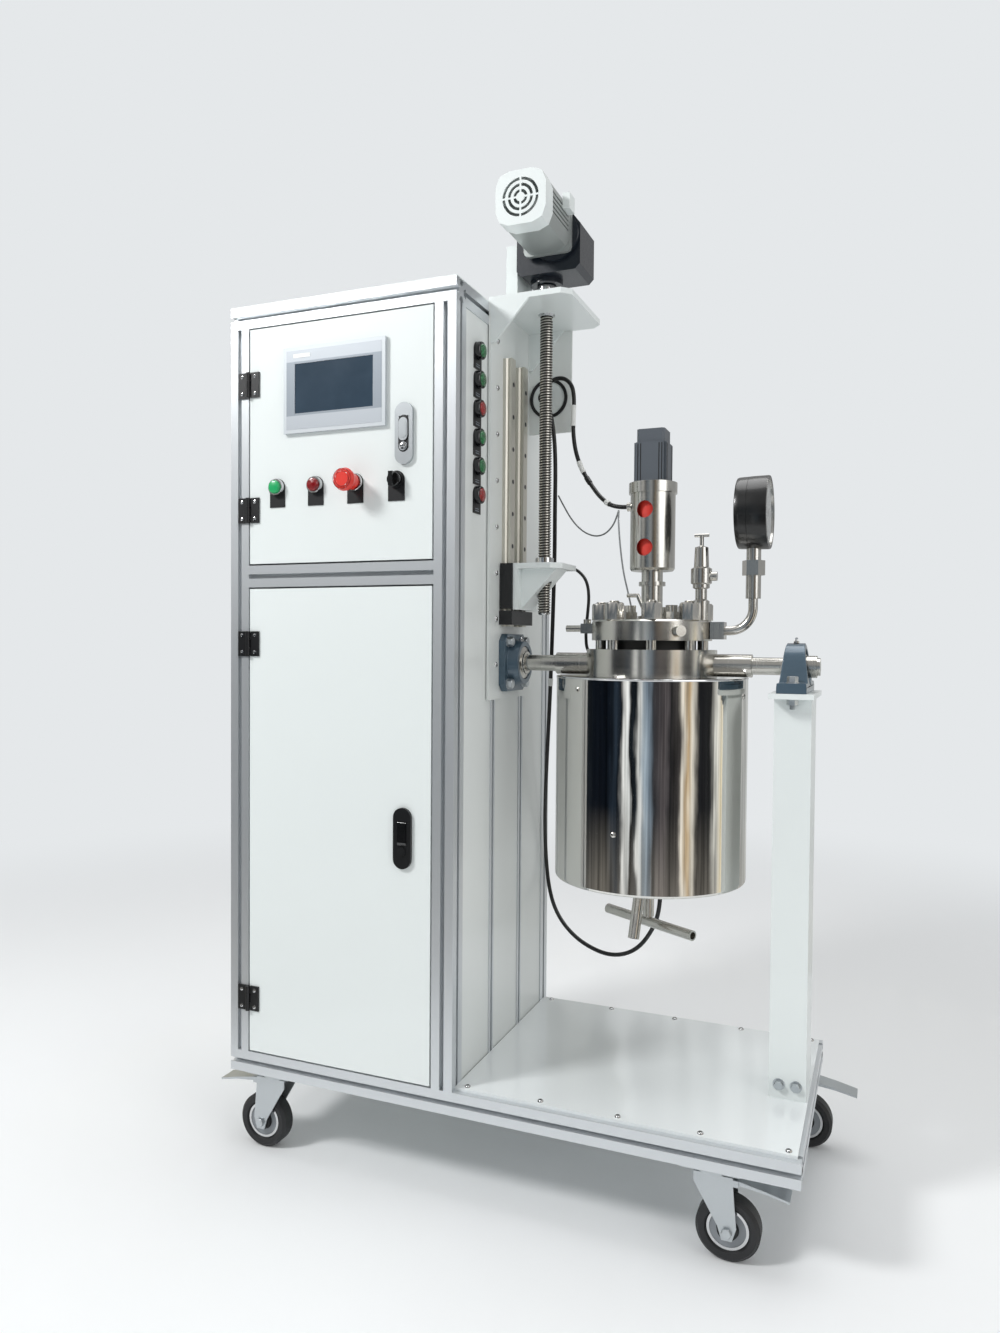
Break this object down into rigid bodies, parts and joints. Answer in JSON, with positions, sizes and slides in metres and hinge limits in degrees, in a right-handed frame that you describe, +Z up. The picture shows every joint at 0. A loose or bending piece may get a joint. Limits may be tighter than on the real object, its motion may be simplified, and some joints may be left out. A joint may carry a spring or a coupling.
{
  "type": "laboratory reactor",
  "caption": "Stirred stainless laboratory reactor tilting on trunnions beside its aluminium-framed control cabinet with screw lift, on braked casters.",
  "frame": {"origin": "On the floor, in the middle of the space the machine takes up, seen from above.", "axes": "+X to the right along the front, from the cabinet to the vessel; +Y from the front to the back; +Z up."},
  "size_m": [1.16, 0.526, 1.748],
  "materials": {
    "aluminium_profile": "satin",
    "white_paint": "satin",
    "polished_steel": "polished",
    "stainless_steel": "brushed",
    "zinc_steel": "satin",
    "cast_blue_grey": "satin",
    "gearbox_paint": "satin",
    "motor_black": "matt",
    "black_plastic": "matt",
    "screen_glass": "gloss",
    "green_lens": "gloss",
    "red_lens": "gloss",
    "tyre_rubber": "matt",
    "cable_rubber": "matt",
    "lead_jacket": "matt"
  },
  "bodies": {
    "machine_frame": {"frame_profiles": "aluminium_profile", "deck_plate": "white_paint", "cabinet_panels": "white_paint", "frame_screws": "zinc_steel", "hinge_leaves": "black_plastic", "side_bezels": "black_plastic", "lift_plate": "white_paint", "top_bracket": "white_paint", "guide_rails": "stainless_steel", "lift_gearmotor": "gearbox_paint", "flange_bearing": "cast_blue_grey", "pillow_block": "cast_blue_grey", "column": "white_paint", "caster_plates": "zinc_steel", "drive_cable": "cable_rubber", "heater_cable": "cable_rubber", "short_cable": "cable_rubber", "probe_lead": "lead_jacket"},
    "upper_door": {"upper_door": "white_paint", "hmi_panel": "black_plastic", "front_bezels": "black_plastic"},
    "lower_door": {"lower_door": "white_paint"},
    "vessel": {"jacket": "polished_steel", "pot": "stainless_steel", "lid": "stainless_steel", "lid_nuts": "stainless_steel", "drive_housing": "stainless_steel", "drive_motor": "motor_black", "safety_valve": "stainless_steel", "pressure_gauge": "stainless_steel", "drain_valve": "stainless_steel", "trunnion_shafts": "stainless_steel"},
    "green_button": {"green_button": "green_lens"},
    "red_button": {"red_button": "red_lens"},
    "stop_button": {"stop_button": "red_lens"},
    "selector_switch": {"selector_switch": "black_plastic"},
    "upper_latch_handle": {"upper_latch_handle": "zinc_steel"},
    "lower_latch_handle": {"lower_latch_handle": "black_plastic"},
    "side_button_1": {"side_button_1": "green_lens"},
    "side_button_2": {"side_button_2": "green_lens"},
    "side_button_3": {"side_button_3": "red_lens"},
    "side_button_4": {"side_button_4": "green_lens"},
    "side_button_5": {"side_button_5": "green_lens"},
    "side_button_6": {"side_button_6": "red_lens"},
    "lead_screw": {"lead_screw": "zinc_steel"},
    "lift_carriage": {"lift_carriage": "white_paint"},
    "stirrer": {"stirrer": "stainless_steel"},
    "drain_handle": {"drain_handle": "stainless_steel"},
    "caster_fork_front_left": {"caster_fork_front_left": "zinc_steel"},
    "caster_wheel_front_left": {"caster_wheel_front_left": "tyre_rubber"},
    "caster_pedal_front_left": {"caster_pedal_front_left": "zinc_steel"},
    "caster_fork_front_right": {"caster_fork_front_right": "zinc_steel"},
    "caster_wheel_front_right": {"caster_wheel_front_right": "tyre_rubber"},
    "caster_pedal_front_right": {"caster_pedal_front_right": "zinc_steel"},
    "caster_fork_rear_left": {"caster_fork_rear_left": "zinc_steel"},
    "caster_wheel_rear_left": {"caster_wheel_rear_left": "tyre_rubber"},
    "caster_pedal_rear_left": {"caster_pedal_rear_left": "zinc_steel"},
    "caster_fork_rear_right": {"caster_fork_rear_right": "zinc_steel"},
    "caster_wheel_rear_right": {"caster_wheel_rear_right": "tyre_rubber"},
    "caster_pedal_rear_right": {"caster_pedal_rear_right": "zinc_steel"}
  },
  "joints": [
    {"name": "vessel_tilt", "type": "hinge", "parent": "machine_frame", "child": "vessel", "pos_m": [0.225, 0.023, 0.92], "axis": [1, 0, 0], "range_deg": [0, 90], "deforming": ["drive_cable", "heater_cable", "short_cable", "probe_lead"]},
    {"name": "upper_door_hinge", "type": "hinge", "parent": "machine_frame", "child": "upper_door", "pos_m": [-0.4735, -0.2213, 1.426], "axis": [0, 0, -1], "range_deg": [0, 100]},
    {"name": "lower_door_hinge", "type": "hinge", "parent": "machine_frame", "child": "lower_door", "pos_m": [-0.4735, -0.2213, 0.952], "axis": [0, 0, -1], "range_deg": [0, 100]},
    {"name": "green_button_press", "type": "slide", "parent": "upper_door", "child": "green_button", "axis": [0, 1, 0], "range_m": [0, 0.003], "stiffness_N_per_m": 300},
    {"name": "red_button_press", "type": "slide", "parent": "upper_door", "child": "red_button", "axis": [0, 1, 0], "range_m": [0, 0.003], "stiffness_N_per_m": 300},
    {"name": "stop_button_press", "type": "slide", "parent": "upper_door", "child": "stop_button", "axis": [0, 1, 0], "range_m": [0, 0.005]},
    {"name": "selector_turn", "type": "hinge", "parent": "upper_door", "child": "selector_switch", "pos_m": [-0.1665, -0.227, 1.236], "axis": [0, -1, 0], "range_deg": [-45, 45]},
    {"name": "upper_latch_turn", "type": "hinge", "parent": "upper_door", "child": "upper_latch_handle", "pos_m": [-0.1505, -0.2218, 1.3405], "axis": [-1, 0, 0], "range_deg": [0, 30]},
    {"name": "lower_latch_turn", "type": "hinge", "parent": "lower_door", "child": "lower_latch_handle", "pos_m": [-0.1505, -0.2218, 0.6445], "axis": [-1, 0, 0], "range_deg": [0, 30]},
    {"name": "side_button_1_press", "type": "slide", "parent": "machine_frame", "child": "side_button_1", "axis": [-1, 0, 0], "range_m": [0, 0.003], "stiffness_N_per_m": 300},
    {"name": "side_button_2_press", "type": "slide", "parent": "machine_frame", "child": "side_button_2", "axis": [-1, 0, 0], "range_m": [0, 0.003], "stiffness_N_per_m": 300},
    {"name": "side_button_3_press", "type": "slide", "parent": "machine_frame", "child": "side_button_3", "axis": [-1, 0, 0], "range_m": [0, 0.003], "stiffness_N_per_m": 300},
    {"name": "side_button_4_press", "type": "slide", "parent": "machine_frame", "child": "side_button_4", "axis": [-1, 0, 0], "range_m": [0, 0.003], "stiffness_N_per_m": 300},
    {"name": "side_button_5_press", "type": "slide", "parent": "machine_frame", "child": "side_button_5", "axis": [-1, 0, 0], "range_m": [0, 0.003], "stiffness_N_per_m": 300},
    {"name": "side_button_6_press", "type": "slide", "parent": "machine_frame", "child": "side_button_6", "axis": [-1, 0, 0], "range_m": [0, 0.003], "stiffness_N_per_m": 300},
    {"name": "screw_turn", "type": "hinge", "parent": "machine_frame", "child": "lead_screw", "pos_m": [0.019, 0.023, 1.57], "axis": [0, 0, 1], "range_deg": [0, 25920]},
    {"name": "lift_slide", "type": "slide", "parent": "machine_frame", "child": "lift_carriage", "axis": [0, 0, 1], "range_m": [0, 0.36]},
    {"name": "stirrer_spin", "type": "hinge", "parent": "vessel", "child": "stirrer", "pos_m": [0.225, 0.023, 0.999], "axis": [0, 0, 1], "continuous": true},
    {"name": "drain_turn", "type": "hinge", "parent": "vessel", "child": "drain_handle", "pos_m": [0.225, 0.023, 0.453], "axis": [0, 0, 1], "range_deg": [-25, 60]},
    {"name": "swivel_front_left", "type": "hinge", "parent": "machine_frame", "child": "caster_fork_front_left", "pos_m": [-0.436, -0.177, 0.137], "axis": [0, 0, 1], "continuous": true},
    {"name": "roll_front_left", "type": "hinge", "parent": "caster_fork_front_left", "child": "caster_wheel_front_left", "pos_m": [-0.461, -0.177, 0.05], "axis": [0, 1, 0], "continuous": true},
    {"name": "brake_front_left", "type": "hinge", "parent": "caster_fork_front_left", "child": "caster_pedal_front_left", "pos_m": [-0.47335, -0.177, 0.1277], "axis": [0, -1, 0], "range_deg": [0, 12]},
    {"name": "swivel_front_right", "type": "hinge", "parent": "machine_frame", "child": "caster_fork_front_right", "pos_m": [0.38, -0.177, 0.137], "axis": [0, 0, 1], "continuous": true},
    {"name": "roll_front_right", "type": "hinge", "parent": "caster_fork_front_right", "child": "caster_wheel_front_right", "pos_m": [0.405, -0.177, 0.05], "axis": [0, 1, 0], "continuous": true},
    {"name": "brake_front_right", "type": "hinge", "parent": "caster_fork_front_right", "child": "caster_pedal_front_right", "pos_m": [0.41735, -0.177, 0.1277], "axis": [0, 1, 0], "range_deg": [0, 12]},
    {"name": "swivel_rear_left", "type": "hinge", "parent": "machine_frame", "child": "caster_fork_rear_left", "pos_m": [-0.462, 0.223, 0.137], "axis": [0, 0, 1], "continuous": true},
    {"name": "roll_rear_left", "type": "hinge", "parent": "caster_fork_rear_left", "child": "caster_wheel_rear_left", "pos_m": [-0.487, 0.223, 0.05], "axis": [0, 1, 0], "continuous": true},
    {"name": "brake_rear_left", "type": "hinge", "parent": "caster_fork_rear_left", "child": "caster_pedal_rear_left", "pos_m": [-0.49935, 0.223, 0.1277], "axis": [0, -1, 0], "range_deg": [0, 12]},
    {"name": "swivel_rear_right", "type": "hinge", "parent": "machine_frame", "child": "caster_fork_rear_right", "pos_m": [0.462, 0.223, 0.137], "axis": [0, 0, 1], "continuous": true},
    {"name": "roll_rear_right", "type": "hinge", "parent": "caster_fork_rear_right", "child": "caster_wheel_rear_right", "pos_m": [0.487, 0.223, 0.05], "axis": [0, 1, 0], "continuous": true},
    {"name": "brake_rear_right", "type": "hinge", "parent": "caster_fork_rear_right", "child": "caster_pedal_rear_right", "pos_m": [0.49935, 0.223, 0.1277], "axis": [0, 1, 0], "range_deg": [0, 12]}
  ],
  "couplings": [
    {"joint": "screw_turn", "follows": "lift_slide", "rad_per_m": 1256.6}
  ]
}
